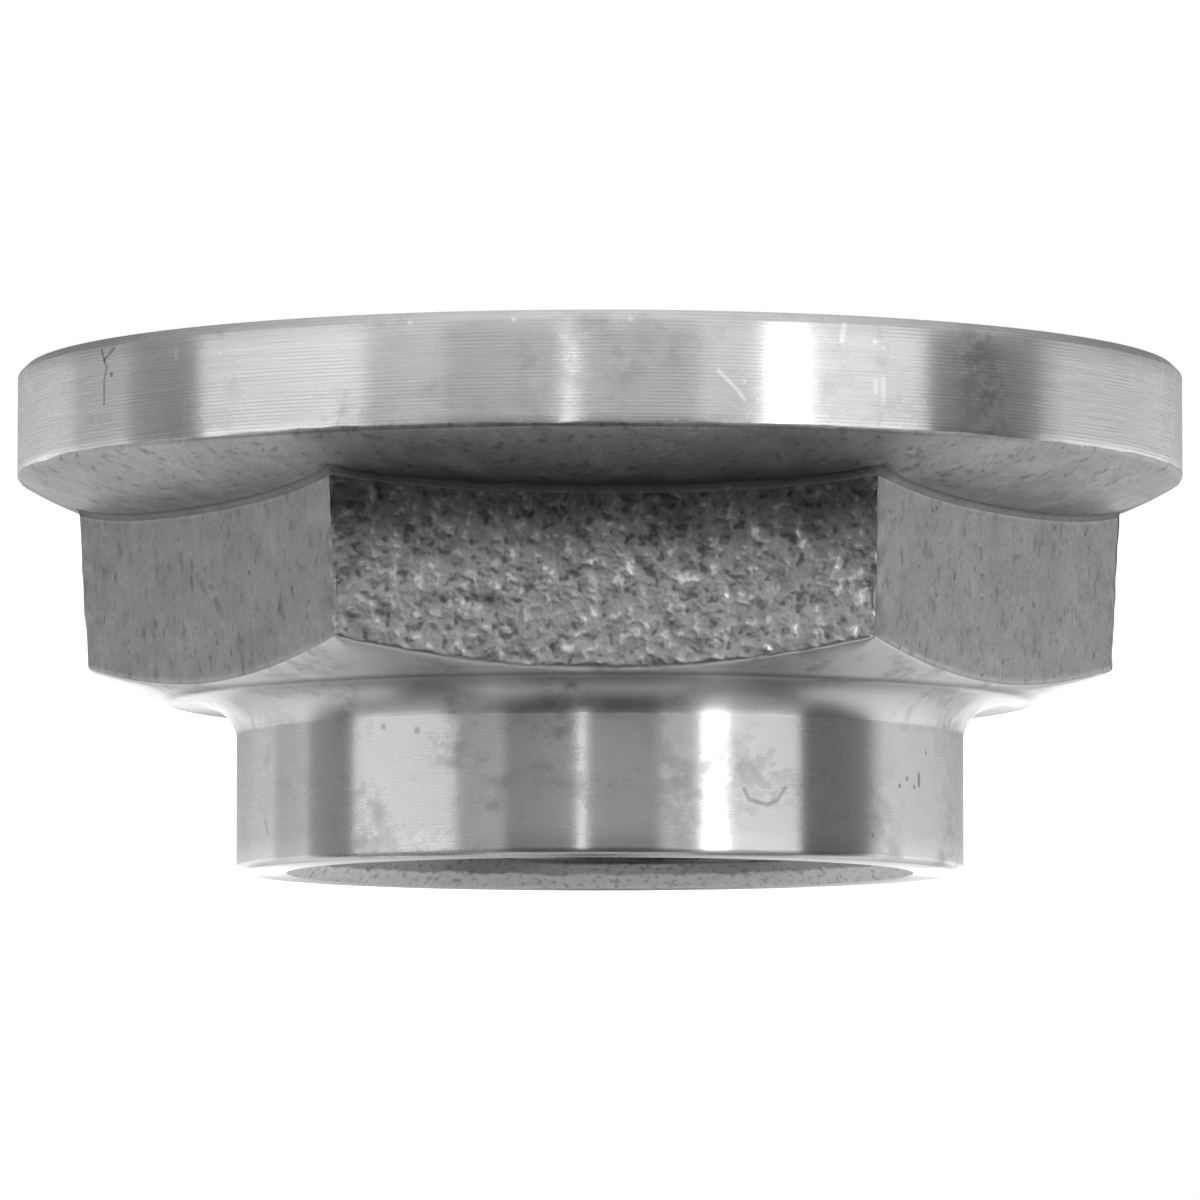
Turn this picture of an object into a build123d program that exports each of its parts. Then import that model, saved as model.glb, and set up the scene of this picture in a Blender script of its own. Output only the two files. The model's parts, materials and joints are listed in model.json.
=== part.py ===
"""Flanged hex nut with a turned collar, forged in one piece from steel and then machined.

The nut stands on the bearing face of its flange.  The origin is the centre of that face,
+Z runs along the thread axis toward the collar, and one flat of the hexagon faces -Y.
Lengths are in millimetres and angles in degrees.  The fine thread isn't cut here: the bore
has its tapping size, which is the thread's minor diameter.
"""
import os
from math import cos, radians, sin, sqrt, tan

from build123d import *

# ------------------------------------------------------------------ driving dimensions
overall_height = 20.1          # bearing face to the end of the collar

thread_diameter = 24.0         # M24 x 1.5
thread_pitch = 1.5
thread_entry_width = 0.45      # how far each countersink stands outside the thread
thread_entry_angle = 45.0      # countersinks, from the axis

flange_overhang = 2.5          # rim beyond the corners of the hexagon
bearing_edge_chamfer = 0.35    # break between the bearing face and the rim
rim_height = 4.45              # bearing face to the corner where the crown starts
rim_edge_break = 0.2           # break of that corner
crown_height = 6.36            # bearing face to the inner end of the crown
crown_section_radius = 13.5    # convex radius of the crowned flange, seen in section
crown_overlap = 0.6            # how far the crown runs in under the flats

across_flats = 36.0            # wrench size, at the gauge height
flats_gauge_height = 8.1
flat_draft = 2.87              # forging draft of each flat, narrower toward the collar
corner_rounding = 0.3          # upright corners of the hexagon
root_fillet = 0.3              # hexagon into crown

shoulder_height = 13.35        # bearing face to the turned ring face around the collar
shoulder_inset = 0.75          # ring face's outer edge, in from the flats
end_bevel_angle = 23.0         # end bevel of the hexagon, from the ring face

collar_wall = 2.5              # thin wall that is staked into a keyway after assembly
collar_foot_radius = 1.6       # concave fillet at the foot of the collar
collar_foot_stop = 12.0        # short of upright by this, the turned collar cuts the fillet off
collar_edge_break = 0.3        # outer break of the collar's end

# ------------------------------------------------------------------ sizes that follow
thread_depth = thread_pitch * sqrt(3) / 2 * 5 / 8
bore_radius = thread_diameter / 2 - thread_depth
mouth_radius = thread_diameter / 2 + thread_entry_width
mouth_depth = (mouth_radius - bore_radius) / tan(radians(thread_entry_angle))

rim_radius = across_flats / sqrt(3) + flange_overhang
crown_radius = across_flats / 2 - crown_overlap
shoulder_radius = across_flats / 2 - shoulder_inset
collar_radius = thread_diameter / 2 + collar_wall


def flats_at(height):
    """Distance across the drafted flats at a height."""
    return across_flats - 2 * (height - flats_gauge_height) * tan(radians(flat_draft))


def turned(outline):
    """Solid of revolution about the thread axis from a closed outline of (radius, height)."""
    return revolve(Plane.XZ * make_face(outline), Axis.Z)


def flange():
    """Disc with a broken bearing edge, a plain rim, a broken corner and a crowned top."""
    rim_corner = (rim_radius, rim_height)
    crown_end = (crown_radius, crown_height)
    disc = turned([
        Polyline(
            (0, crown_height),
            (0, 0),
            (rim_radius - bearing_edge_chamfer, 0),
            (rim_radius, bearing_edge_chamfer),
            rim_corner,
        ),
        RadiusArc(rim_corner, crown_end, -crown_section_radius),
        Line(crown_end, (0, crown_height)),
    ])
    # half a flat's turn puts the disc's seam behind a flat and not at a corner of the hexagon
    disc = Rot(0, 0, 180 / 6) * disc
    corner = disc.edges().filter_by(GeomType.CIRCLE).group_by(SortBy.RADIUS)[-1].sort_by(Axis.Z)[-1]
    return chamfer(corner, rim_edge_break)


def hexagon():
    """Drafted hexagon with rounded corners, bevelled at the collar's end."""
    outline = RegularPolygon(flats_at(rim_height) / 2, 6, major_radius=False)
    length = shoulder_height - rim_height
    prism = extrude(Plane.XY.offset(rim_height) * outline, length, taper=flat_draft)
    ends = prism.faces().sort_by(Axis.Z)
    corners = prism.edges() - ends.first.edges() - ends.last.edges()
    prism = fillet(corners, corner_rounding)
    bevel_drop = (rim_radius - shoulder_radius) * tan(radians(end_bevel_angle))
    bevel = turned(Polyline(
        (0, shoulder_height),
        (0, 0),
        (rim_radius, 0),
        (rim_radius, shoulder_height - bevel_drop),
        (shoulder_radius, shoulder_height),
        close=True,
    ))
    return prism & bevel


def collar():
    """Turned collar, whose foot fillet stops short of tangent at a crisp turning line."""
    stop = radians(collar_foot_stop)
    halfway = (radians(90) + stop) / 2
    foot_centre = (collar_radius + collar_foot_radius * cos(stop), shoulder_height + collar_foot_radius)

    def foot_point(angle):
        return (foot_centre[0] - collar_foot_radius * cos(angle),
                foot_centre[1] - collar_foot_radius * sin(angle))

    edge_start = (collar_radius, overall_height - collar_edge_break)
    edge_end = (collar_radius - collar_edge_break, overall_height)
    foot = foot_point(radians(90))
    return turned([
        Polyline((0, overall_height), (0, rim_height), (foot[0], rim_height), foot),
        ThreePointArc(foot, foot_point(halfway), foot_point(stop)),
        Polyline(foot_point(stop), edge_start, edge_end, (0, overall_height)),
    ])


def bore():
    """Tapping-size bore, countersunk for the thread at both ends."""
    return turned(Polyline(
        (0, 0),
        (mouth_radius, 0),
        (bore_radius, mouth_depth),
        (bore_radius, overall_height - mouth_depth),
        (mouth_radius, overall_height),
        (0, overall_height),
        close=True,
    ))


def nut():
    """Flange, hexagon and collar fused to one forging, with the bore cut through it."""
    disc = flange()
    prism = hexagon()
    head = disc + prism
    head = fillet(new_edges(disc, prism, combined=head), root_fillet)
    return head + collar() - bore()


if __name__ == "__main__":
    os.makedirs("parts", exist_ok=True)
    export_step(nut(), "parts/flanged_nut.step")
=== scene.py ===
import json
import math

import bpy
import numpy as np
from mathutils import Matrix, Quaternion, Vector


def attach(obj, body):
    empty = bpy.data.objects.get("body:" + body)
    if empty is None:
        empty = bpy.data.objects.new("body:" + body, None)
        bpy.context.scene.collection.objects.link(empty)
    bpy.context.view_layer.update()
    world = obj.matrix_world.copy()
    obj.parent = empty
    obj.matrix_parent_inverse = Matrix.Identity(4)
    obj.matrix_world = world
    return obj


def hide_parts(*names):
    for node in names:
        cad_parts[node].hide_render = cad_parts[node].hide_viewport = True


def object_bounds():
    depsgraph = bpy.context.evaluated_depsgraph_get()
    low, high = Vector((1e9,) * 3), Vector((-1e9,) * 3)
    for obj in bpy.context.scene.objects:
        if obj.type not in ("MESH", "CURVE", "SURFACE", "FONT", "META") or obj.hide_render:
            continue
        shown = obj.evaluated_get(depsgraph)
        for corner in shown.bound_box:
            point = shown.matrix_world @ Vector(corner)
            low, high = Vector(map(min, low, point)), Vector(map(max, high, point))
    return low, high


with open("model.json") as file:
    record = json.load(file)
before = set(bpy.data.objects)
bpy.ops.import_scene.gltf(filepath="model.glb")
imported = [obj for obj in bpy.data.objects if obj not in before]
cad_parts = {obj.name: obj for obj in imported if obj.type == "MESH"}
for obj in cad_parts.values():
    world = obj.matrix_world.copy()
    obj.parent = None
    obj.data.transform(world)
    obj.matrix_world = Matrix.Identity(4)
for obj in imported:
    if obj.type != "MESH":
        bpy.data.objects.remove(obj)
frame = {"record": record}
cad_low, cad_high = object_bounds()

NODE = "flanged_nut"
MM = 0.001
mounts = {mount["name"]: mount for mount in frame["record"]["mounts"]}

# ------------------------------------------------------------------ sizes, in millimetres
HEIGHT = cad_high.z / MM
RIM_RADIUS = (cad_high.x - cad_low.x) / 2 / MM
THREAD_MINOR = mounts["thread"]["dims"]["r_mm"]
THREAD_PITCH = 1.5
THREAD_MAJOR = THREAD_MINOR + THREAD_PITCH * math.sqrt(3) / 2 * 5 / 8
MOUTH_RADIUS = THREAD_MAJOR + 0.45
MOUTH_DEPTH = 0.55
FACE_INNER = MOUTH_RADIUS + 0.05
# share of the pitch that is flat at the thread's crest and at its root
THREAD_CREST = 0.25
THREAD_ROOT = 0.125

BEARING_CHAMFER = 0.35
BEARING_EDGE = 0.06
RIM_TOP = 4.45
RIM_CORNER_BREAK = 0.14
CROWN_END = (17.4, 6.36)
CROWN_SECTION_RADIUS = 13.5

HALF_FLATS = 18.0
GAUGE_HEIGHT = 8.1
DRAFT = math.tan(math.radians(2.87))
CORNER_ROUNDING = 0.24
ROOT_BLEND = 0.22
SHOULDER_HEIGHT = 13.35
SHOULDER_RADIUS = 17.25
SHOULDER_BLEND = 0.12
BEVEL_SLOPE = math.tan(math.radians(23.0))
BEVEL_BLEND = 0.24
BEVEL_END = SHOULDER_RADIUS + 0.1

COLLAR_RADIUS = THREAD_MAJOR + 2.5
FOOT_RADIUS = 1.6
FOOT_STOP = math.radians(12.0)
COLLAR_EDGE = 0.3

# ------------------------------------------------------------------ finish, in millimetres
# how rough each flat is, anticlockwise from the one that faces -Y
FLATS = 6
FLAT_ROUGHNESS = (1.0, 0.25, 0.6, 0.9, 0.6, 0.2)
SMOOTH_FLAT = 0.5
FLAT_CHANGE = math.radians(2.6)
# depth and wavelength of what the forging leaves, from the widest to the finest
WAVE = (0.012, 5.0)
SWELL = (0.008, 1.1)
LUMPS = (0.026, 0.85)
FINE_LUMPS = (0.016, 0.42)
WORN_CORNER = (0.055, 0.7)
WAVE_ON_FLATS = 0.6
LUMPS_ON_CROWN = 0.2
# how far from a corner the wear and the corner's own material reach
WORN_CORNER_WIDTH = math.radians(1.6)
CORNER_ZONE_WIDTH = math.radians(0.42)
# the ragged edge between rim and crown: depth and wavelength, its limit and how far it is sunk
RAGGED = (0.04, 2.6)
FINE_RAGGED = (0.03, 0.9)
RAGGED_LIMIT = 0.06
RAGGED_DROP = 0.04
# how much the blend at the hexagon's end varies in size, and over what wavelength
WANDER = (0.35, 1.3)
FINE_WANDER = (0.25, 0.5)
# craters on each rough flat: how many, their radii and depths, and the area they lie in
CRATERS = 320
CRATER_RADII = (0.12, 0.5)
CRATER_DEPTHS = (0.012, 0.06)
CRATER_AREA = ((-10.8, 5.5), (10.8, 13.3))
# painted shade is darker beside the rough flats: it changes near the corner, which lies 30 degrees
# from a smooth flat's normal, between these cosines of that angle
SHADE_CHANGE = (0.83, 0.90)
# radii over which the painted shade on the crown clears, from its root outward
CROWN_SHADE_CLEARS = (18.0, 21.0)
# heights over which the painted shade under the crown on a rough flat clears, and its level by the
# crown
FLAT_SHADE_CLEARS = (7.4, 11.2)
FLAT_SHADE_LEVEL = 0.15
# pitch of the lathe's feed lines
FEED = 0.14
# marks on the rim and the collar: how much brighter or darker, width, places across and up;
# the wide ones are stains, and the widest one on the rim is partly painted dark reflection
STAIN_WIDTH = 0.35
RIM_MARKS = (
    (-0.4, 0.17, ((18.9, 0.5), (19.3, 0.9), (19.2, 1.2), (19.3, 1.7), (19.3, 2.6))),
    (-0.45, 0.17, ((19.4, 0.5), (19.3, 0.9))),
    (-0.6, 0.24, ((19, 1.5),)),
    (-0.14, 0.4, ((20.1, 3.1), (19.1, 3.2))),
    (0.32, 0.16, ((-4.2, 2.3), (-4.9, 3), (-5.2, 3.4))),
    (0.27, 0.16, ((-2.6, 4.2), (-2.8, 4.4))),
    (0.23, 0.2, ((-5.2, 2.7),)),
    (0.27, 0.26, ((-9, 0.4), (-8.9, 1))),
    (0.23, 0.26, ((-10.2, 1),)),
    (0.23, 0.2, ((-10.5, 1.2),)),
    (-0.14, 0.9, ((-10.4, 1.9),)),
    (0.14, 0.24, ((-10.2, 2.5), (-10.2, 2.9))),
    (0.14, 0.24, ((-10.5, 2.4), (-10.5, 3.3))),
    # a smudge on the band where the rim reflects a dark gap, partly painted dark reflection
    (-0.35, 3.2, ((-14.2, 1), (-14.6, 3.6))),
    (0.23, 0.2, ((16.4, 0.9), (16.4, 1.2))),
    (0.27, 0.24, ((7.4, 0.4),)),
    (0.27, 0.24, ((3.5, 0.4),)),
    (0.27, 0.2, ((-0.9, 0.4),)),
    (0.23, 0.24, ((-14.8, 0.4),)),
    (-0.24, 0.5, ((14.7, 0.4),)),
    (-0.14, 0.8, ((10, 3.7), (8.2, 3.5))),
    (-0.14, 0.5, ((9.8, 3),)),
    (-0.14, 0.9, ((7.7, 2.9), (6.6, 3))),
)
COLLAR_MARKS = (
    (-0.35, 0.18, ((-5.4, 17.5), (-5.6, 17.9), (-6.3, 18.1), (-6.7, 17.9), (-7, 17.4))),
    (0.21, 0.4, ((-6.3, 17.8),)),
    (-0.45, 0.24, ((-11.9, 16.8),)),
    (-0.5, 0.22, ((-11.6, 17.1),)),
    (-0.45, 0.22, ((-12.2, 17.1),)),
    (-0.5, 0.24, ((-12.4, 16.6), (-12.4, 17))),
    (-0.35, 0.24, ((-12.7, 15.7),)),
    (-0.35, 0.2, ((-10.5, 19.1),)),
    (-0.08, 0.36, ((-11.7, 14.8), (-12.7, 14.8), (-13.4, 14.5))),
    (-0.3, 0.26, ((8.5, 15),)),
    (-0.3, 0.3, ((7.2, 15.2),)),
    (-0.14, 0.7, ((5.8, 16.6),)),
    (-0.1, 0.5, ((5.7, 18),)),
    (-0.1, 0.6, ((4.3, 18.1),)),
    (-0.14, 0.6, ((8.8, 17.5),)),
    (-0.2, 0.24, ((13.2, 18.4), (13.1, 18.8))),
)

# ------------------------------------------------------------------ mesh density
FRONT_COLUMNS = 230
OTHER_COLUMNS = 95
CROWN_ROWS = 12
WALL_ROWS = 46
BLEND_POINTS = 5
FOOT_POINTS = 10
BEVEL_SHARES = (0.3, 0.65, 0.9, 1.0)
BEVEL_FADE = (0.8, 0.5, 0.2)
TURNED_COLUMNS = 360
RIM_COLUMNS = 450
THREAD_COLUMNS = 180
THREAD_ROWS_PER_PITCH = 10
# height of the strip of rim that joins the even columns to the fine ones
RIM_JOIN = 0.35
# depths in the bore of the level rows at each end, before the rows that follow the thread
LEVEL_ROWS = (0.04, 0.15, 0.28, 0.42, 0.56, 0.72, 0.9, 1.1, 1.3)

# ------------------------------------------------------------------ studio, in metres and degrees
FLOOR_RADIUS = 2.9
FLOOR_EDGE = 0.25
FLOOR_STEPS = 96
WORLD_LEVEL = 0.015
FLOOR_GREY = (0.3, 0.3, 0.3, 1.0)
# centre, inner and outer radius, inner and outer level of the floor's own light
PICTURE_GLOW = ((0, 0, 0), 0.03, 0.3, 0.9, 1.0)
# painted light: patches where the floor glows, seen only in the metal
GLOW_PATCH = ((0, -0.036, 0), 0.006, 0.035, 1.0, 0.06)
FAR_PATCH = ((0, -0.2, 0), 0.07, 0.16, 0.85, 0.12)
LAMP_DISTANCE = 0.6
# name, azimuths from the camera toward -X, lower and upper elevation, radiance
SOFT_BOXES = (
    ("back_left", (-178, -105), 0.5, 60, 1.25),
    ("back_low", (125, 235), 0.5, 16, 1.1),
    ("side_left", (-108, -85), 0.5, 16, 0.4),
    ("left", (-84, -46), 0.5, 13, 3.7),
    ("left_edge", (-46, -30), 0.5, 12, 1.3),
    ("left_high", (-88, -38), 35, 70, 0.42),
    ("thin_strip", (-7.0, -5.4), 0.5, 13, 9.0),
    ("key_edge", (18.0, 31.0), 0.5, 13, 1.7),
    ("key_strip", (31.0, 39.5), 0.5, 14, 11.0),
    ("right", (39.5, 56), 0.5, 13, 3.9),
    ("right_end", (56, 64.5), 0.5, 13, 3.7),
    ("right_high", (32, 80), 35, 68, 0.5),
    ("side_right", (98, 125), 0.5, 16, 0.9),
    ("back_right", (94, 178), 0.5, 60, 1.2),
)
# the lamp overhead, which faces down: where it hangs, width, length, radiance
OVERHEAD_PLACE = (0.03, 0.02, 0.6)
OVERHEAD = (0.36, 0.30, 1.35)
# the camera's distance, turn and height, the height it aims at, and its lens in millimetres
CAMERA_REACH = 0.3708
CAMERA_TURN = math.radians(0.62)
CAMERA_HEIGHT = 0.03858
AIM_HEIGHT = 0.00915
LENS = 279.0


# ------------------------------------------------------------------ noise
def lattice(cells, seed):
    """A repeatable value from -1 to 1 for each integer lattice point."""
    mixed = (cells[..., 0] * 374761393 + cells[..., 1] * 668265263
             + cells[..., 2] * 2147483647 + seed * 144665)
    mixed = (mixed ^ (mixed >> 13)) * 1274126177
    mixed = mixed ^ (mixed >> 16)
    return (mixed & 0xFFFFFF) / float(0x7FFFFF) - 1.0


def noise(points, wavelength, seed):
    """Smooth value noise from -1 to 1 at points in millimetres."""
    scaled = points / wavelength
    cell = np.floor(scaled).astype(np.int64)
    part = scaled - cell
    part = part * part * (3 - 2 * part)
    total = np.zeros(points.shape[:-1])
    for corner in np.ndindex(2, 2, 2):
        weight = np.ones(points.shape[:-1])
        for axis in range(3):
            side = part[..., axis] if corner[axis] else 1 - part[..., axis]
            weight = weight * side
        total += weight * lattice(cell + np.array(corner), seed)
    return total


def ripple(points, size, seed):
    """Smooth noise of one size, given as a depth and a wavelength."""
    depth, wavelength = size
    return depth * noise(points, wavelength, seed)


# ------------------------------------------------------------------ section curves
def crown_height(radius):
    """Height of the crowned flange over a radius: an arc from the rim's corner to the hexagon."""
    start = np.array([RIM_RADIUS, RIM_TOP])
    end = np.array(CROWN_END)
    middle, chord = (start + end) / 2, end - start
    length = np.hypot(*chord)
    inward = np.array([-chord[1], chord[0]]) / length
    if inward[1] > 0:
        inward = -inward
    centre = middle + inward * math.sqrt(CROWN_SECTION_RADIUS ** 2 - (length / 2) ** 2)
    return centre[1] + np.sqrt(CROWN_SECTION_RADIUS ** 2 - (radius - centre[0]) ** 2)


def bevel_height(radius):
    """Height of the hexagon's end bevel over a radius."""
    return SHOULDER_HEIGHT - (radius - SHOULDER_RADIUS) * BEVEL_SLOPE


def flat_offset(angle):
    """Angle from the normal of the nearest flat, one of which faces -Y."""
    step = 2 * math.pi / FLATS
    return (angle + math.pi / 2 + step / 2) % step - step / 2


def hexagon_radius(angle, height):
    """Radius of the drafted, round-cornered hexagon at an angle and a height."""
    half = HALF_FLATS - (height - GAUGE_HEIGHT) * DRAFT
    turn = np.abs(flat_offset(angle))
    half_step = math.pi / FLATS
    inner = half - CORNER_ROUNDING
    tangent = np.arctan2(inner * math.tan(half_step), half)
    flat = half / np.cos(turn)
    centre = inner / math.cos(half_step)
    away = half_step - turn
    under = np.maximum(CORNER_ROUNDING ** 2 - (centre * np.sin(away)) ** 2, 0)
    corner = centre * np.cos(away) + np.sqrt(under)
    return np.where(turn < tangent, flat, corner)


def meet(angle, surface, guess):
    """Height at which the hexagon's wall meets a surface of revolution."""
    height = np.full(angle.shape, guess)
    for _ in range(12):
        height = surface(hexagon_radius(angle, height))
    return height


def bezier(a, b, c, count, ends=(True, True)):
    """Points of (radius, height) along a quadratic curve from a past b to c.

    The ends say whether its first and its last point are kept.
    """
    steps = np.linspace(0, 1, count)
    steps = steps[(0 if ends[0] else 1):(count if ends[1] else count - 1)]
    return [tuple((1 - t) ** 2 * a[k] + 2 * t * (1 - t) * b[k] + t ** 2 * c[k] for k in (0, 1))
            for t in steps]


def line(a, b, count, ends=(True, True)):
    """Points of (radius, height) along a straight line, with the same choice of ends."""
    steps = np.linspace(0, 1, count)
    steps = steps[(0 if ends[0] else 1):(count if ends[1] else count - 1)]
    return [tuple((1 - t) * a[k] + t * b[k] for k in (0, 1)) for t in steps]


# ------------------------------------------------------------------ the nut's mesh
class Shell:
    """Vertices and faces of one closed surface, built ring by ring."""

    def __init__(self):
        self.points = []
        self.count = 0
        self.faces = []
        self.zones = []

    def add(self, points):
        """Adds points and returns their indices."""
        points = np.asarray(points, float).reshape(-1, 3)
        first = self.count
        self.points.append(points)
        self.count += len(points)
        return np.arange(first, self.count)

    def add_rings(self, angle, rows):
        """Adds a ring of points for each radius and height, and returns their indices."""
        return [self.add(ring_points(angle, radius, height)) for radius, height in rows]

    def triangles(self, faces, zone):
        """Adds faces of one zone, or with one zone for each face."""
        self.faces.append(np.asarray(faces, np.int64))
        self.zones.append(np.broadcast_to(zone, len(faces)))

    def grid(self, rows, zone):
        """Joins closed rings that have the same number of points."""
        for lower, upper in zip(rows[:-1], rows[1:]):
            a, b = lower, np.roll(lower, -1)
            c, d = np.roll(upper, -1), upper
            self.triangles(np.column_stack([a, b, c]), zone)
            self.triangles(np.column_stack([a, c, d]), zone)

    def zip_rings(self, lower, low_angles, upper, high_angles, zone):
        """Joins two closed rings with different numbers of points, in order of angle."""
        faces, i, j = [], 0, 0
        n, m = len(lower), len(upper)
        low = np.append(low_angles, low_angles[0] + 2 * math.pi)
        high = np.append(high_angles, high_angles[0] + 2 * math.pi)
        while i < n or j < m:
            if i < n and (j == m or low[i + 1] <= high[j + 1]):
                faces.append((lower[i], lower[(i + 1) % n], upper[j % m]))
                i += 1
            else:
                faces.append((lower[i % n], upper[(j + 1) % m], upper[j % m]))
                j += 1
        self.triangles(faces, zone)


def ring_points(angle, radius, height):
    """Ring of points from its radius and height, each a number or one value per angle."""
    radius = np.broadcast_to(radius, angle.shape)
    height = np.broadcast_to(height, angle.shape)
    return np.stack([radius * np.cos(angle), radius * np.sin(angle), height], axis=-1)


def even_angles(count):
    """Evenly spaced angles, from the one that faces -X."""
    return np.linspace(-math.pi, math.pi, count, endpoint=False)


def hexagon_angles():
    """Angles spaced evenly along each flat, and closer together at its corners."""
    half_step = math.pi / FLATS
    angles = []
    for flat in range(FLATS):
        columns = FRONT_COLUMNS if flat == 0 else OTHER_COLUMNS
        place = np.linspace(-1, 1, columns, endpoint=False)
        crowding = 0.15 if flat == 0 else 0.5
        place = (1 - crowding) * place + crowding * np.sin(place * math.pi / 2)
        angles.append(-math.pi / 2 + flat * 2 * half_step + np.arctan(math.tan(half_step) * place))
    return np.sort((np.concatenate(angles) + math.pi) % (2 * math.pi) - math.pi)


def flat_number(angle):
    """Number of the flat that an angle falls on, 0 for the one that faces -Y."""
    step = 2 * math.pi / FLATS
    return np.round((angle + math.pi / 2) / step).astype(int) % FLATS


def flat_roughness(angle):
    """How rough the forging is at an angle: it changes from flat to flat just past each corner."""
    step = 2 * math.pi / FLATS
    place = ((angle + math.pi / 2 + step / 2) / step) % FLATS
    flat = np.floor(place).astype(int)
    part = (place - flat) * step
    own = np.array(FLAT_ROUGHNESS)[flat]
    before = np.array(FLAT_ROUGHNESS)[(flat - 1) % FLATS]
    after = np.array(FLAT_ROUGHNESS)[(flat + 1) % FLATS]
    low = np.clip(part / FLAT_CHANGE, 0, 1)
    high = np.clip((step - part) / FLAT_CHANGE, 0, 1)
    beside = (1 - low) * np.maximum(own, before) + (1 - high) * np.maximum(own, after)
    return np.minimum(low, high) * own + beside


def craters(along, height, seed):
    """Depth of scattered craters over one flat, at points given along and up the flat."""
    random = np.random.default_rng(seed)
    depth = np.zeros(along.shape)
    places = random.uniform(*CRATER_AREA, (CRATERS, 2))
    smallest, largest = CRATER_RADII
    sizes = smallest + (largest - smallest) * random.random(CRATERS) ** 2.5
    deeps = random.uniform(*CRATER_DEPTHS, CRATERS)
    stretch = random.uniform(0.8, 1.8, CRATERS)
    lean = random.uniform(-0.6, 0.6, CRATERS)
    for (x, z), size, deep, wide, turn in zip(places, sizes, deeps, stretch, lean):
        dx, dz = along - x, height - z
        u = (dx * math.cos(turn) + dz * math.sin(turn)) / wide
        v = -dx * math.sin(turn) + dz * math.cos(turn)
        distance = (u * u + v * v) / size ** 2
        depth += deep * np.exp(-distance ** 1.5)
    return depth


def forged_relief(grid, angle, on_flats):
    """Depth of the as-forged surface below its ideal form, for a grid of points."""
    wave = WAVE[0] * (1 + noise(grid, WAVE[1], 11))
    swell = SWELL[0] * (1 + noise(grid, SWELL[1], 23))
    lumps = LUMPS[0] * np.tanh(2.5 * noise(grid, LUMPS[1], 37))
    lumps = lumps + ripple(grid, FINE_LUMPS, 41) + (LUMPS[0] + FINE_LUMPS[0])
    if not on_flats:
        return wave + swell + LUMPS_ON_CROWN * lumps
    share = np.broadcast_to(flat_roughness(angle), grid.shape[:2])
    from_corner = math.pi / FLATS - np.abs(np.broadcast_to(flat_offset(angle), share.shape))
    worn_corner = np.exp(-(from_corner / WORN_CORNER_WIDTH) ** 2)
    worn_corner = worn_corner * (1 + noise(grid, WORN_CORNER[1], 61)) * WORN_CORNER[0]
    depth = wave * WAVE_ON_FLATS + share * (swell + lumps + worn_corner)
    flat = flat_number(angle)
    radius = np.hypot(grid[..., 0], grid[..., 1])
    along = radius * np.sin(np.broadcast_to(flat_offset(angle), radius.shape))
    for k in range(FLATS):
        if FLAT_ROUGHNESS[k] > SMOOTH_FLAT:
            mask = flat == k
            depth[:, mask] += FLAT_ROUGHNESS[k] * craters(along[:, mask], grid[:, mask, 2], 500 + k)
    return depth


def normals_of(grid):
    """Outward unit normals of a closed-ring grid of points."""
    around = np.roll(grid, -1, axis=1) - np.roll(grid, 1, axis=1)
    up = np.gradient(grid, axis=0)
    normal = np.cross(around, up)
    return normal / np.linalg.norm(normal, axis=-1, keepdims=True)


ZONES = ("faced", "rim", "crown", "root", "corner", "rough_flat", "smooth_flat", "shoulder",
         "collar", "bore")
(FACED, RIM, CROWN, ROOT, CORNER, ROUGH_FLAT, SMOOTH_FLAT_ZONE, SHOULDER,
 COLLAR, BORE) = range(len(ZONES))


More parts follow.
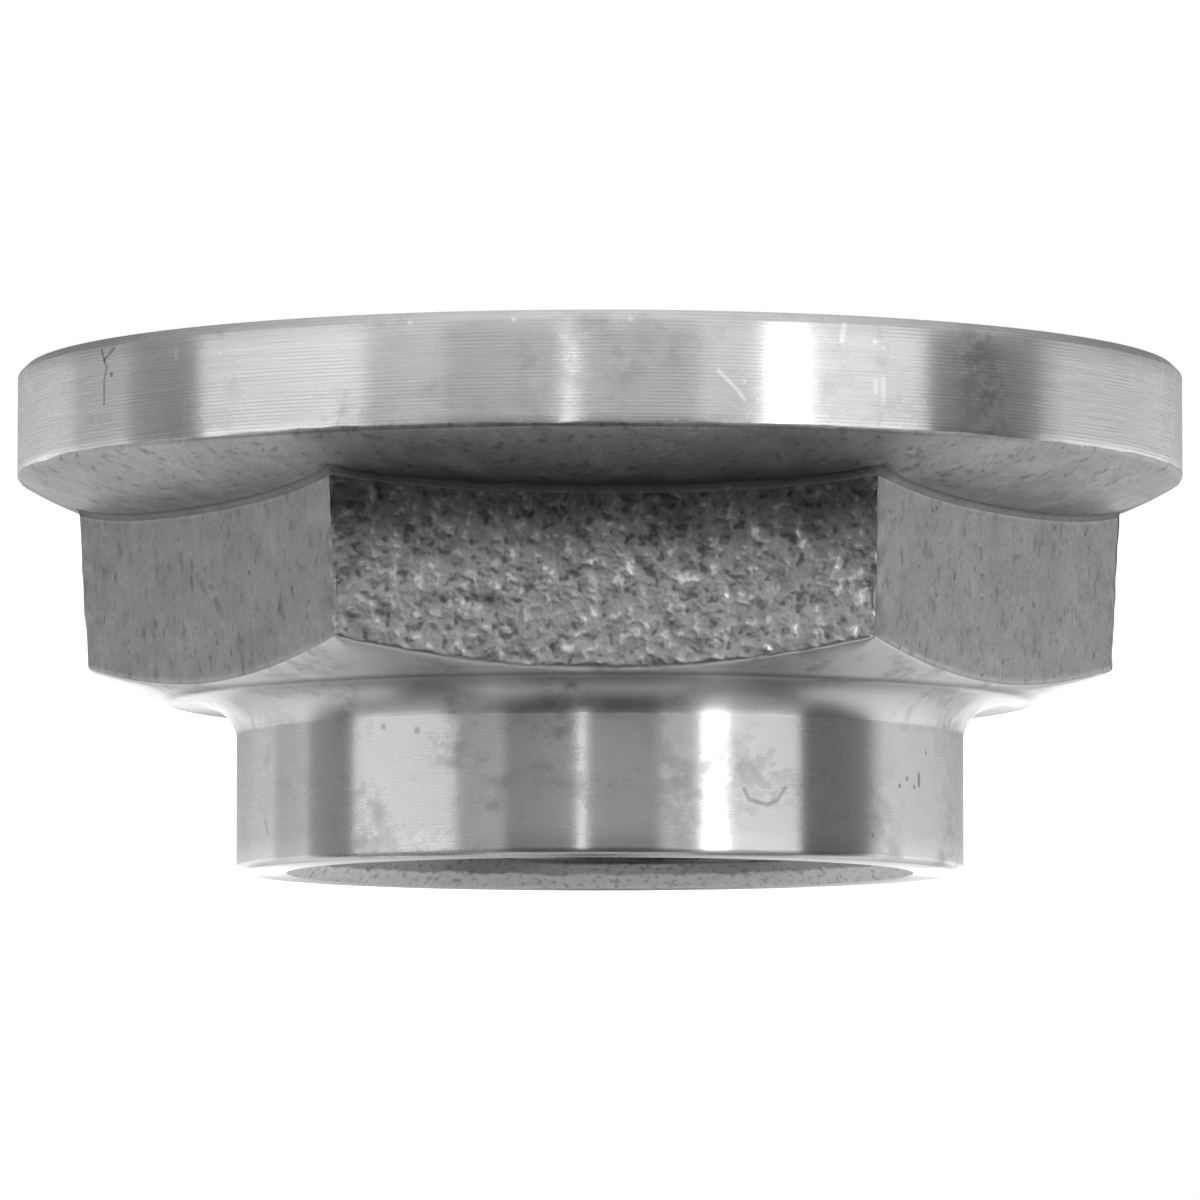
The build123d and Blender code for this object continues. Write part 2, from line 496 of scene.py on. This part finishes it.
def add_head(shell):
    """Rim corner, crown, hexagon and end bevel: the forged part, on the fine columns."""
    angle = hexagon_angles()
    circle = ring_points(angle, RIM_RADIUS, 0)
    ragged = ripple(circle, RAGGED, 5) + ripple(circle, FINE_RAGGED, 6)
    rim_top = RIM_TOP - RIM_CORNER_BREAK + np.minimum(ragged, RAGGED_LIMIT) - RAGGED_DROP
    crown_start = RIM_RADIUS - RIM_CORNER_BREAK * (1.0 + 0.5 * noise(circle, 1.7, 7))
    rows = bezier((RIM_RADIUS, rim_top), (RIM_RADIUS, crown_height(RIM_RADIUS)),
                  (crown_start, crown_height(crown_start)), 4)
    corner_rows = len(rows)

    root = meet(angle, crown_height, 6.0)
    root_radius = hexagon_radius(angle, root)
    blend_start = root_radius + ROOT_BLEND
    blend_end = root + ROOT_BLEND
    for t in np.linspace(0, 1, CROWN_ROWS + 1)[1:]:
        radius = crown_start + (blend_start - crown_start) * t
        rows.append((radius, crown_height(radius)))
    crown_rows = len(rows)
    rows += bezier(rows[-1], (root_radius, root),
                   (hexagon_radius(angle, blend_end), blend_end), BLEND_POINTS, (False, True))
    root_rows = len(rows)

    edge = meet(angle, bevel_height, 12.0)
    edge_radius = hexagon_radius(angle, edge)
    wander = ripple(circle, WANDER, 9) + ripple(circle, FINE_WANDER, 10)
    wander = 1.0 + flat_roughness(angle) * wander
    wall_end = edge - BEVEL_BLEND * wander
    for t in np.linspace(0, 1, WALL_ROWS + 1)[1:]:
        height = blend_end + (wall_end - blend_end) * t
        rows.append((hexagon_radius(angle, height), height))
    wall_rows = len(rows)
    bevel_start = edge_radius - BEVEL_BLEND * wander
    bevel_start = np.maximum(bevel_start, SHOULDER_RADIUS + SHOULDER_BLEND)
    rows += bezier(rows[-1], (edge_radius, edge), (bevel_start, bevel_height(bevel_start)),
                   BLEND_POINTS, (False, True))
    for t in BEVEL_SHARES:
        radius = bevel_start + (BEVEL_END - bevel_start) * t
        rows.append((radius, bevel_height(radius)))

    grid = np.stack([ring_points(angle, r, z) for r, z in rows])
    normal = normals_of(grid)
    relief = np.zeros(grid.shape[:2])
    crown = slice(0, crown_rows - 1)
    relief[crown] = forged_relief(grid[crown], angle, False)
    wall = slice(crown_rows - 1, wall_rows + len(BEVEL_FADE))
    relief[wall] = forged_relief(grid[wall], angle, True)
    fade = np.ones(len(rows))
    fade[:corner_rows] = np.linspace(0, 1, corner_rows)
    fade[wall_rows:] = 0
    fade[wall_rows:wall_rows + len(BEVEL_FADE)] = BEVEL_FADE
    grid = grid - normal * (relief * fade[:, None])[..., None]
    rings = [shell.add(row) for row in grid]
    shell.grid(rings[:crown_rows], CROWN)
    shell.grid(rings[crown_rows - 1:root_rows], ROOT)
    smooth = np.array(FLAT_ROUGHNESS)[flat_number(angle)] < SMOOTH_FLAT
    flat_zone = np.where(smooth, SMOOTH_FLAT_ZONE, ROUGH_FLAT)
    reaches = (-CORNER_ZONE_WIDTH, CORNER_ZONE_WIDTH)
    beside = np.stack([flat_number(angle + turn) for turn in reaches])
    at_corner = beside[0] != beside[1]
    worn = (np.array(FLAT_ROUGHNESS)[beside] > SMOOTH_FLAT).any(axis=0)
    flat_zone[at_corner & worn] = CORNER
    shell.grid(rings[root_rows - 1:wall_rows + 2], flat_zone)
    shell.grid(rings[wall_rows + 1:], SHOULDER)
    return angle, rings[0], rim_top, rings[-1]


def add_disc(shell, head_angle, rim_ring, rim_top):
    """Bearing face, its chamfer and the turned rim."""
    angle = even_angles(RIM_COLUMNS)
    top = np.interp(angle, head_angle, rim_top, period=2 * math.pi) - RIM_JOIN
    edge = (RIM_RADIUS, BEARING_CHAMFER)
    inner = (RIM_RADIUS - BEARING_CHAMFER, 0)
    soft, slant = BEARING_EDGE, 0.7 * BEARING_EDGE
    chamfer = bezier((inner[0] - soft, 0), inner, (inner[0] + slant, slant), 3)
    chamfer += bezier((edge[0] - slant, edge[1] - slant), edge, (edge[0], edge[1] + soft), 3)
    faced = line((FACE_INNER, 0), (inner[0] - soft, 0), 6, (True, False))
    wall = line(chamfer[-1], (RIM_RADIUS, top), 7, (False, True))
    faced_rings = shell.add_rings(angle, faced + chamfer[:2])
    shell.grid(faced_rings, FACED)
    rim_rings = faced_rings[-1:] + shell.add_rings(angle, chamfer[2:] + wall)
    shell.grid(rim_rings, RIM)
    shell.zip_rings(rim_rings[-1], angle, rim_ring, head_angle, RIM)
    return angle, faced_rings[0]


def add_collar(shell, head_angle, bevel_ring):
    """Ring face, foot fillet, collar and its end."""
    angle = even_angles(TURNED_COLUMNS)
    centre = (COLLAR_RADIUS + FOOT_RADIUS * math.cos(FOOT_STOP), SHOULDER_HEIGHT + FOOT_RADIUS)
    outer, inner = SHOULDER_RADIUS + SHOULDER_BLEND, SHOULDER_RADIUS - SHOULDER_BLEND
    rows = bezier((outer, bevel_height(outer)), (SHOULDER_RADIUS, SHOULDER_HEIGHT),
                  (inner, SHOULDER_HEIGHT), 4, (False, True))
    rows += line((centre[0] + 0.15, SHOULDER_HEIGHT), (centre[0], SHOULDER_HEIGHT), 2)
    for turn in np.linspace(math.pi / 2, FOOT_STOP, FOOT_POINTS)[1:]:
        inward, down = FOOT_RADIUS * math.cos(turn), FOOT_RADIUS * math.sin(turn)
        rows.append((centre[0] - inward, centre[1] - down))
    foot_rows = len(rows)
    foot_top = rows[-1]
    rows += [(COLLAR_RADIUS, foot_top[1] + 0.03)]
    rows += line(rows[-1], (COLLAR_RADIUS, HEIGHT - COLLAR_EDGE), 7, (False, True))
    rows += bezier((COLLAR_RADIUS, HEIGHT - COLLAR_EDGE), (COLLAR_RADIUS, HEIGHT),
                   (COLLAR_RADIUS - COLLAR_EDGE, HEIGHT), 5, (False, True))
    rows += line(rows[-1], (FACE_INNER, HEIGHT), 4, (False, True))
    rings = shell.add_rings(angle, rows)
    shell.zip_rings(bevel_ring, head_angle, rings[0], angle, SHOULDER)
    shell.grid(rings[:foot_rows], SHOULDER)
    shell.grid(rings[foot_rows - 1:], COLLAR)
    return angle, rings[-1]


def thread_radius(phase):
    """Radius of the internal thread's flank over one pitch: crest, flank, root, flank."""
    half_crest = THREAD_CREST / 2
    flank = (1 - THREAD_CREST - THREAD_ROOT) / 2
    root = half_crest + flank
    knots = [0, half_crest, root, root + THREAD_ROOT, 1 - half_crest, 1]
    radii = [THREAD_MINOR, THREAD_MINOR, THREAD_MAJOR, THREAD_MAJOR, THREAD_MINOR, THREAD_MINOR]
    return np.interp(phase % 1.0, knots, radii)


def add_bore(shell, low_angle, low_ring, high_angle, high_ring):
    """Right-handed thread whose rows follow the helix, run out into a countersink at each end."""
    angle = even_angles(THREAD_COLUMNS)
    advance = (angle + math.pi) / (2 * math.pi) * THREAD_PITCH
    row_step = THREAD_PITCH / THREAD_ROWS_PER_PITCH
    columns, rows_used = [], []
    level = np.array(LEVEL_ROWS)
    clear = level[-1] + 0.3 * row_step
    for phi, start in zip(angle, advance):
        first = math.ceil((clear - start) / row_step)
        last = math.floor((HEIGHT - clear - start) / row_step)
        index = np.arange(first, last + 1)
        height = np.concatenate([level, start + index * row_step, HEIGHT - level[::-1]])
        radius = thread_radius((height - start) / THREAD_PITCH)
        mouth = MOUTH_RADIUS - np.minimum(height, HEIGHT - height)
        radius = np.maximum(radius, mouth)
        columns.append(shell.add(ring_points(np.full(len(height), phi), radius, height)))
        rows_used.append(height)
    faces = []
    count = len(columns)
    for k in range(count):
        here, there = columns[k], columns[(k + 1) % count]
        z_here, z_there = rows_used[k], rows_used[(k + 1) % count]
        i = j = 0
        while i < len(here) - 1 or j < len(there) - 1:
            at_top = j == len(there) - 1
            if at_top or (i < len(here) - 1 and z_here[i + 1] <= z_there[j + 1]):
                faces.append((here[i], here[i + 1], there[j]))
                i += 1
            else:
                faces.append((here[i], there[j + 1], there[j]))
                j += 1
    shell.triangles(faces, BORE)
    bottom = np.array([column[0] for column in columns])
    top = np.array([column[-1] for column in columns])
    shell.zip_rings(bottom, angle, low_ring, low_angle, BORE)
    shell.zip_rings(high_ring, high_angle, top, angle, BORE)


def nut_mesh():
    """The whole nut as one closed mesh, with a material number for each face."""
    shell = Shell()
    head_angle, rim_ring, rim_top, bevel_ring = add_head(shell)
    disc_angle, low_ring = add_disc(shell, head_angle, rim_ring, rim_top)
    collar_angle, high_ring = add_collar(shell, head_angle, bevel_ring)
    add_bore(shell, disc_angle, low_ring, collar_angle, high_ring)
    points = np.concatenate(shell.points) * MM
    faces = np.concatenate(shell.faces)
    zones = np.concatenate(shell.zones)
    mesh = bpy.data.meshes.new("nut")
    mesh.vertices.add(len(points))
    mesh.vertices.foreach_set("co", points.astype(np.float32).ravel())
    mesh.loops.add(faces.size)
    mesh.loops.foreach_set("vertex_index", faces.astype(np.int32).ravel())
    mesh.polygons.add(len(faces))
    mesh.polygons.foreach_set("loop_start", np.arange(0, faces.size, 3, dtype=np.int32))
    mesh.polygons.foreach_set("material_index", zones.astype(np.int32))
    mesh.update(calc_edges=True)
    mesh.shade_smooth()
    return mesh


# ------------------------------------------------------------------ materials
class Nodes:
    """Short calls for a material's nodes. Sizes are in millimetres."""

    def __init__(self, name):
        self.material = bpy.data.materials.new(name)
        self.material.use_nodes = True
        self.tree = self.material.node_tree
        self.tree.nodes.clear()
        self.position = self.tree.nodes.new("ShaderNodeTexCoord").outputs["Object"]

    def put(self, value, socket):
        """Links an output to a socket, or sets a plain value on it."""
        if isinstance(value, bpy.types.NodeSocket):
            self.tree.links.new(value, socket)
        else:
            socket.default_value = value

    def math(self, operation, *values):
        node = self.tree.nodes.new("ShaderNodeMath")
        node.operation = operation
        for value, socket in zip(values, node.inputs):
            self.put(value, socket)
        return node.outputs[0]

    def vector(self, operation, a, b=(0, 0, 0)):
        node = self.tree.nodes.new("ShaderNodeVectorMath")
        node.operation = operation
        self.put(a, node.inputs[0])
        self.put(b, node.inputs[1])
        gives_number = operation in ("LENGTH", "DISTANCE", "DOT_PRODUCT")
        return node.outputs["Value" if gives_number else "Vector"]

    def height(self):
        """Height over the bearing face, in millimetres."""
        return self.vector("DOT_PRODUCT", self.position, (0, 0, 1 / MM))

    def reach(self):
        """Distance from the axis, in millimetres."""
        return self.vector("LENGTH", self.vector("MULTIPLY", self.position, (1 / MM, 1 / MM, 0)))

    def noise(self, size, detail=3.0, roughness=0.55, seed=0):
        """Noise from 0 to 1 with features of one size, or one size for each axis."""
        sizes = size if isinstance(size, tuple) else (size, size, size)
        place = self.tree.nodes.new("ShaderNodeMapping")
        place.inputs["Scale"].default_value = [1 / (each * MM) for each in sizes]
        place.inputs["Location"].default_value = (seed * 17.3, seed * 5.9, seed * 11.7)
        self.put(self.position, place.inputs["Vector"])
        node = self.tree.nodes.new("ShaderNodeTexNoise")
        node.inputs["Scale"].default_value = 1.0
        node.inputs["Detail"].default_value = detail
        node.inputs["Roughness"].default_value = roughness
        self.put(place.outputs["Vector"], node.inputs["Vector"])
        return node.outputs["Fac"]

    def ramp(self, value, low, high, out_low=0.0, out_high=1.0):
        node = self.tree.nodes.new("ShaderNodeMapRange")
        node.interpolation_type = "SMOOTHSTEP"
        for place, each in enumerate((value, low, high, out_low, out_high)):
            self.put(each, node.inputs[place])
        return node.outputs["Result"]

    def swing(self, value, amount):
        """Factor round 1 that a 0 to 1 value swings by an amount each way."""
        return self.math("MULTIPLY_ADD", value, 2 * amount, 1 - amount)

    def product(self, first, *others):
        for other in others:
            first = self.math("MULTIPLY", first, other)
        return first

    def stroke(self, points, width):
        """1 within a stroke along points, fading to 0 over its edge."""
        nearest = 1.0
        ends = list(zip(points[:-1], points[1:])) or [(points[0], points[0])]
        for start, end in ends:
            start, run = Vector(start) * MM, (Vector(end) - Vector(start)) * MM
            away = self.vector("SUBTRACT", self.position, start)
            if run.length > 0:
                share = self.vector("DOT_PRODUCT", away, run / run.length_squared)
                share = self.math("MAXIMUM", self.math("MINIMUM", share, 1.0), 0.0)
                along = self.tree.nodes.new("ShaderNodeVectorMath")
                along.operation = "SCALE"
                along.inputs[0].default_value = run
                self.put(share, along.inputs["Scale"])
                away = self.vector("SUBTRACT", away, along.outputs["Vector"])
            nearest = self.math("MINIMUM", nearest, self.vector("LENGTH", away))
        core = 0.2 if width < STAIN_WIDTH else 0.0
        return self.ramp(nearest, core * width * MM, 0.65 * width * MM, 1.0, 0.0)

    def by_flat(self, rough, smooth):
        """One value beside the rough flats, and another beside the two smooth ones."""
        outward = self.vector("NORMALIZE", self.vector("MULTIPLY", self.position, (1, 1, 0)))
        nearest = -1.0
        for flat, roughness in enumerate(FLAT_ROUGHNESS):
            if roughness < SMOOTH_FLAT:
                turn = flat * 2 * math.pi / FLATS - math.pi / 2
                facing = (math.cos(turn), math.sin(turn), 0)
                nearest = self.math("MAXIMUM", nearest, self.vector("DOT_PRODUCT", outward, facing))
        return self.ramp(nearest, *SHADE_CHANGE, rough, smooth)

    def bump(self, height, depth, below=None):
        """Normal over a 0 to 1 height that stands for a depth in millimetres."""
        node = self.tree.nodes.new("ShaderNodeBump")
        node.inputs["Strength"].default_value = 1.0
        node.inputs["Distance"].default_value = depth * MM
        self.put(height, node.inputs["Height"])
        if below is not None:
            self.put(below, node.inputs["Normal"])
        return node.outputs["Normal"]

    def steel(self, tone, roughness, normal, grooved=False, edge=0.55):
        """Finishes the material as bare steel, which grooves round the axis spread up and down.

        The edge value is how much of its shine it keeps at a glancing angle.
        """
        shader = self.tree.nodes.new("ShaderNodeBsdfPrincipled")
        shader.inputs["Metallic"].default_value = 1.0
        shader.inputs["Specular Tint"].default_value = (edge, edge, edge, 1.0)
        self.put(tone, shader.inputs["Base Color"])
        self.put(roughness, shader.inputs["Roughness"])
        self.put(normal, shader.inputs["Normal"])
        if grooved:
            shader.inputs["Anisotropic"].default_value = 1.0
            shader.inputs["Anisotropic Rotation"].default_value = 0.25
            tangent = self.tree.nodes.new("ShaderNodeTangent")
            tangent.direction_type = "RADIAL"
            tangent.axis = "Z"
            self.put(tangent.outputs["Tangent"], shader.inputs["Tangent"])
        output = self.tree.nodes.new("ShaderNodeOutputMaterial")
        self.put(shader.outputs["BSDF"], output.inputs["Surface"])
        return self.material


def wall_points(radius, places):
    """Points on the front of an upright round wall, from places across and up."""
    return [(across, -math.sqrt(radius ** 2 - across ** 2), height) for across, height in places]


def turned_steel(name, tone, rough, lines, stain, edge, radius=None, marks=(), dark_ring=None):
    """Steel turned on a lathe: feed lines and fine streaks round the axis, stains and marks.

    The edge value is how much of its shine it keeps at a glancing angle. The dark ring is the
    radius of a thin darker line where two faces meet.
    """
    n = Nodes(name)
    drift = n.noise((7, 7, 1.2), 2.0)
    height = n.vector("DOT_PRODUCT", n.position, (0, 0, 2 * math.pi / (FEED * MM)))
    feed = n.math("SINE", n.math("MULTIPLY_ADD", drift, 4.0, height))
    patchy = n.ramp(n.noise((4, 4, 0.8), 2.0, seed=1), 0.35, 0.6)
    feed = n.math("MULTIPLY_ADD", n.product(feed, patchy), 0.5, 0.5)
    streaks = n.noise((3, 3, 0.07), 3.0, 0.65, seed=2)
    cloud = n.noise(3.2, 4.0, 0.6, seed=3)
    blotch = n.noise((0.9, 0.9, 0.7), 4.0, 0.65, seed=4)
    stained = n.product(n.ramp(cloud, 0.42, 0.72), n.ramp(blotch, 0.34, 0.74))
    color = n.product(tone, n.swing(feed, 0.09 * lines), n.swing(streaks, 0.2 * lines),
                      n.swing(cloud, 0.06), n.math("MULTIPLY_ADD", stained, -stain, 1.0))
    relief = n.bump(n.math("ADD", feed, streaks), 0.0009 * lines)
    relief = n.bump(blotch, 0.002, relief)
    change = 0.0
    for strength, width, places in marks:
        mark = n.stroke(wall_points(radius, places), width)
        if width > STAIN_WIDTH:
            mark = n.product(mark, n.ramp(blotch, 0.35, 0.6))
        change = n.math("MULTIPLY_ADD", mark, strength, change)
    color = n.product(color, n.math("ADD", change, 1.0))
    if dark_ring:
        away = n.math("ABSOLUTE", n.math("SUBTRACT", n.reach(), dark_ring))
        color = n.product(color, n.ramp(away, 0.06, 0.42, 0.62, 1.0))
    roughness = n.math("MULTIPLY_ADD", stained, 0.08, n.product(rough, n.swing(streaks, 0.15)))
    return n.steel(n.math("MINIMUM", color, 0.95), roughness, relief, True, edge)


def rough_forging(name, tone, rough):
    """Shot-cleaned forging: lumps with painted glints, and painted shade in their hollows and by
    the crown.
    """
    n = Nodes(name)
    lump = n.noise(0.42, 1.5, 0.5)
    grain = n.noise(0.12, 2.0, 0.6, seed=1)
    cloud = n.noise(2.0, 4.0, 0.6, seed=2)
    # painted shade darkens the lumps' hollows, and painted glints brighten their peaks
    shaded_hollow = n.ramp(lump, 0.28, 0.42, 0.45, 1.0)
    painted_glint = n.ramp(lump, 0.56, 0.74, 0.94, 1.7)
    height = n.math("MULTIPLY_ADD", cloud, 1.6, n.height())
    # painted shade on the flat under the crown, clearing with height
    painted_shade = n.ramp(height, *FLAT_SHADE_CLEARS, FLAT_SHADE_LEVEL, 1.0)
    color = n.product(tone, shaded_hollow, painted_glint, painted_shade, n.swing(grain, 0.2), n.swing(cloud, 0.16))
    relief = n.bump(lump, 0.08)
    relief = n.bump(grain, 0.006, relief)
    roughness = n.ramp(lump, 0.35, 0.65, rough * 1.2, rough * 0.85)
    return n.steel(color, roughness, relief)


def smooth_forging(name, tone, rough, mottle, drawn, painted_shade=1.0):
    """Smoother forging: mottled and smudged, with scattered dark pits drawn out up and down.

    The painted shade level darkens what lies beside a rough flat, and more so near the crown's
    root.
    """
    n = Nodes(name)
    veil = n.noise((0.9, 0.9, 0.9 * drawn), 5.0, 0.7)
    cloud = n.noise(2.6, 3.0, 0.6, seed=1)
    smudge = n.ramp(n.noise((0.5, 0.5, 0.5 * drawn), 3.0, 0.6, seed=2), 0.53, 0.74)
    pitted = n.ramp(n.noise((0.3, 0.3, 0.3 * drawn), 1.0, 0.5, seed=3), 0.66, 0.82)
    grain = n.noise((0.13, 0.13, 0.13 * drawn), 2.0, 0.6, seed=4)
    color = n.product(tone, n.swing(veil, 0.4 * mottle), n.swing(cloud, 0.25 * mottle),
                      n.swing(grain, 0.2), n.math("MULTIPLY_ADD", smudge, -0.4 * mottle, 1.0),
                      n.math("MULTIPLY_ADD", pitted, -0.35, 1.0))
    # painted shade: darker beside the rough flats, and most near the crown's root
    near_root = n.ramp(n.reach(), *CROWN_SHADE_CLEARS, painted_shade * 0.6, painted_shade)
    color = n.product(color, n.by_flat(near_root, 1.0))
    relief = n.bump(veil, 0.02)
    relief = n.bump(pitted, -0.012, relief)
    relief = n.bump(grain, 0.005, relief)
    return n.steel(color, n.product(rough, n.swing(veil, 0.2)), relief)


def faced_steel(name, tone, rough):
    """A face cut across the axis: fine rings, a little stained."""
    n = Nodes(name)
    reach = n.vector("LENGTH", n.vector("MULTIPLY", n.position, (1, 1, 0)))
    cloud = n.noise(3.0, 4.0, 0.6)
    drift = n.noise(5.0, 2.0, seed=1)
    phase = n.math("MULTIPLY_ADD", reach, 2 * math.pi / (FEED * MM), n.product(drift, 6.0))
    rings = n.math("MULTIPLY_ADD", n.math("SINE", phase), 0.5, 0.5)
    blotch = n.noise(0.9, 4.0, 0.6, seed=2)
    color = n.product(tone, n.swing(rings, 0.07), n.swing(cloud, 0.14), n.swing(blotch, 0.10))
    relief = n.bump(rings, 0.002)
    relief = n.bump(blotch, 0.003, relief)
    return n.steel(color, n.product(rough, n.swing(cloud, 0.3)), relief, grooved=True)


def root_shade_steel(name, tone, rough_tone, rough):
    """Painted shade in the corner between the crown and the hexagon, darker by the rough flats."""
    n = Nodes(name)
    cloud = n.noise(1.2, 4.0, 0.6)
    grain = n.noise(0.15, 2.0, 0.6, seed=1)
    # painted shade in the crease, darker beside the rough flats
    color = n.product(n.by_flat(rough_tone, tone), n.swing(cloud, 0.3), n.swing(grain, 0.2))
    return n.steel(color, rough, n.bump(grain, 0.01))


def bore_steel(name, entry_tone, tone, entry_rough, rough):
    """Spotted steel in the bore: pale in the countersinks; dull and dark in the thread, partly dull
    steel and partly painted shade.
    """
    n = Nodes(name)
    cloud = n.noise(1.4, 4.0, 0.6)
    spots = n.noise(0.28, 3.0, 0.6, seed=1)
    height = n.height()
    depth = n.math("MINIMUM", height, n.math("SUBTRACT", HEIGHT, height))
    depth = n.math("MULTIPLY_ADD", n.math("SUBTRACT", cloud, 0.5), 0.5, depth)
    thread = n.ramp(depth, MOUTH_DEPTH - 0.06, MOUTH_DEPTH + 0.06)
    # the thread's dark tone is partly dull, oily steel and partly painted shade in the bore
    base = n.math("MULTIPLY_ADD", thread, tone - entry_tone, entry_tone)
    color = n.product(base, n.swing(cloud, 0.3), n.ramp(spots, 0.3, 0.5, 0.6, 1.0))
    dull = n.math("MULTIPLY_ADD", thread, rough - entry_rough, entry_rough)
    return n.steel(color, n.product(dull, n.swing(cloud, 0.2)), n.bump(spots, 0.02))


def finish_nut():
    """Makes the nut, gives each zone its steel, and puts it in the solid's place."""
    nut = bpy.data.objects.new("nut", nut_mesh())
    bpy.context.scene.collection.objects.link(nut)
    made = {
        "faced": faced_steel("faced_steel", tone=0.52, rough=0.3),
        "rim": turned_steel("turned_rim", tone=0.57, rough=0.26, lines=1.0, stain=0.18, edge=1.0,
                            radius=RIM_RADIUS, marks=RIM_MARKS),
        # the crown's level of painted shade beside the rough flats
        "crown": smooth_forging("forged_crown", tone=0.41, rough=0.5, mottle=1.0, drawn=1.0,
                                painted_shade=0.62),
        # the root's dark tones are painted shade in the crease
        "root": root_shade_steel("painted_root_shade", tone=0.22, rough_tone=0.09, rough=0.6),
        "corner": rough_forging("worn_corner", tone=0.36, rough=0.56),
        "rough_flat": rough_forging("rough_forging", tone=0.365, rough=0.46),
        "smooth_flat": smooth_forging("smooth_forging", tone=0.315, rough=0.45, mottle=0.8,
                                      drawn=1.8),
        "shoulder": turned_steel("turned_shoulder", tone=0.56, rough=0.31, lines=0.3, stain=0.6,
                                 edge=0.5, dark_ring=SHOULDER_RADIUS),
        "collar": turned_steel("turned_collar", tone=0.53, rough=0.26, lines=0.25, stain=0.3,
                               edge=0.6, radius=COLLAR_RADIUS, marks=COLLAR_MARKS),
        "bore": bore_steel("bore_steel", entry_tone=0.6, tone=0.24, entry_rough=0.6, rough=0.42),
    }
    for zone in ZONES:
        nut.data.materials.append(made[zone])
    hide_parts(NODE)
    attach(nut, "root")


# ------------------------------------------------------------------ studio
def direction(azimuth):
    """Level unit vector from the nut. Azimuth 0 points at the camera, and grows toward -X."""
    turn = math.radians(azimuth)
    return Vector((-math.sin(turn), -math.cos(turn), 0))


def area_lamp(name, width, length, radiance):
    """Rectangular area lamp that the camera doesn't see."""
    data = bpy.data.lights.new(name, "AREA")
    data.shape = "RECTANGLE"
    data.size = width
    data.size_y = length
    data.energy = radiance * math.pi * data.size * data.size_y
    lamp = bpy.data.objects.new(name, data)
    bpy.context.scene.collection.objects.link(lamp)
    lamp.visible_camera = False
    return lamp


def soft_box(name, azimuths, low, top, radiance):
    """Upright lamp that covers a range of azimuths and elevations, seen from the nut."""
    middle = sum(azimuths) / 2
    half_width = math.radians(azimuths[1] - azimuths[0]) / 2
    base, head = (LAMP_DISTANCE * math.tan(math.radians(each)) for each in (low, top))
    lamp = area_lamp(name, 2 * LAMP_DISTANCE * math.tan(half_width), head - base, radiance)
    lamp.location = direction(middle) * LAMP_DISTANCE + Vector((0, 0, (base + head) / 2))
    lamp.rotation_euler = direction(middle).to_track_quat("Z", "Y").to_euler()


def white_paper():
    """White floor: white in the picture, and patches before the nut that glow only in the metal:
    painted light, no lamp.
    """
    n = Nodes("white_paper")

    def level_round(centre, *ramp):
        return n.ramp(n.vector("DISTANCE", n.position, centre), *ramp)

    path = n.tree.nodes.new("ShaderNodeLightPath").outputs
    mirrored = n.math("MAXIMUM", path["Is Glossy Ray"], path["Is Transmission Ray"])
    in_picture = n.product(path["Is Camera Ray"], level_round(*PICTURE_GLOW))
    patch_glow = n.math("ADD", level_round(*GLOW_PATCH), level_round(*FAR_PATCH))
    in_metal = n.product(mirrored, patch_glow)
    diffuse = n.tree.nodes.new("ShaderNodeBsdfDiffuse")
    diffuse.inputs["Color"].default_value = FLOOR_GREY
    glow = n.tree.nodes.new("ShaderNodeEmission")
    n.put(n.math("ADD", in_picture, in_metal), glow.inputs["Strength"])
    both = n.tree.nodes.new("ShaderNodeAddShader")
    n.put(diffuse.outputs["BSDF"], both.inputs[0])
    n.put(glow.outputs["Emission"], both.inputs[1])
    output = n.tree.nodes.new("ShaderNodeOutputMaterial")
    n.put(both.outputs["Shader"], output.inputs["Surface"])
    return n.material


def add_studio_floor():
    """Round floor with a low upright edge, which hides the horizon from level views."""
    turns = [2 * math.pi * k / FLOOR_STEPS for k in range(FLOOR_STEPS)]
    ring = [(FLOOR_RADIUS * math.cos(turn), FLOOR_RADIUS * math.sin(turn)) for turn in turns]
    points = [(x, y, 0.0) for x, y in ring] + [(x, y, FLOOR_EDGE) for x, y in ring]
    faces = [tuple(range(FLOOR_STEPS))]
    for k in range(FLOOR_STEPS):
        after = (k + 1) % FLOOR_STEPS
        faces.append((k, after, FLOOR_STEPS + after, FLOOR_STEPS + k))
    mesh = bpy.data.meshes.new("studio_floor")
    mesh.from_pydata(points, [], faces)
    mesh.materials.append(white_paper())
    floor = bpy.data.objects.new("studio_floor", mesh)
    bpy.context.scene.collection.objects.link(floor)


def add_world():
    """A faint even light from all round."""
    world = bpy.data.worlds.new("studio")
    bpy.context.scene.world = world
    world.use_nodes = True
    background = world.node_tree.nodes["Background"]
    background.inputs["Color"].default_value = (1.0, 1.0, 1.0, 1.0)
    background.inputs["Strength"].default_value = WORLD_LEVEL


def add_camera():
    """Long lens, a little above the floor, turned upside down so that the flange is on top."""
    data = bpy.data.cameras.new("camera")
    data.sensor_width = 36.0
    data.lens = LENS
    data.clip_start = 0.01
    data.clip_end = 20.0
    camera = bpy.data.objects.new("camera", data)
    bpy.context.scene.collection.objects.link(camera)
    across, back = CAMERA_REACH * math.sin(CAMERA_TURN), CAMERA_REACH * math.cos(CAMERA_TURN)
    camera.location = (across, -back, CAMERA_HEIGHT)
    aim = (Vector((0, 0, AIM_HEIGHT)) - camera.location).to_track_quat("-Z", "Y")
    half_turn = Quaternion((0, 0, 1), math.pi)
    camera.rotation_mode = "QUATERNION"
    camera.rotation_quaternion = aim @ half_turn
    bpy.context.scene.camera = camera


finish_nut()
add_studio_floor()
add_world()
for box in SOFT_BOXES:
    soft_box(*box)
area_lamp("overhead", *OVERHEAD).location = OVERHEAD_PLACE
add_camera()
bpy.context.scene.view_settings.view_transform = "Standard"
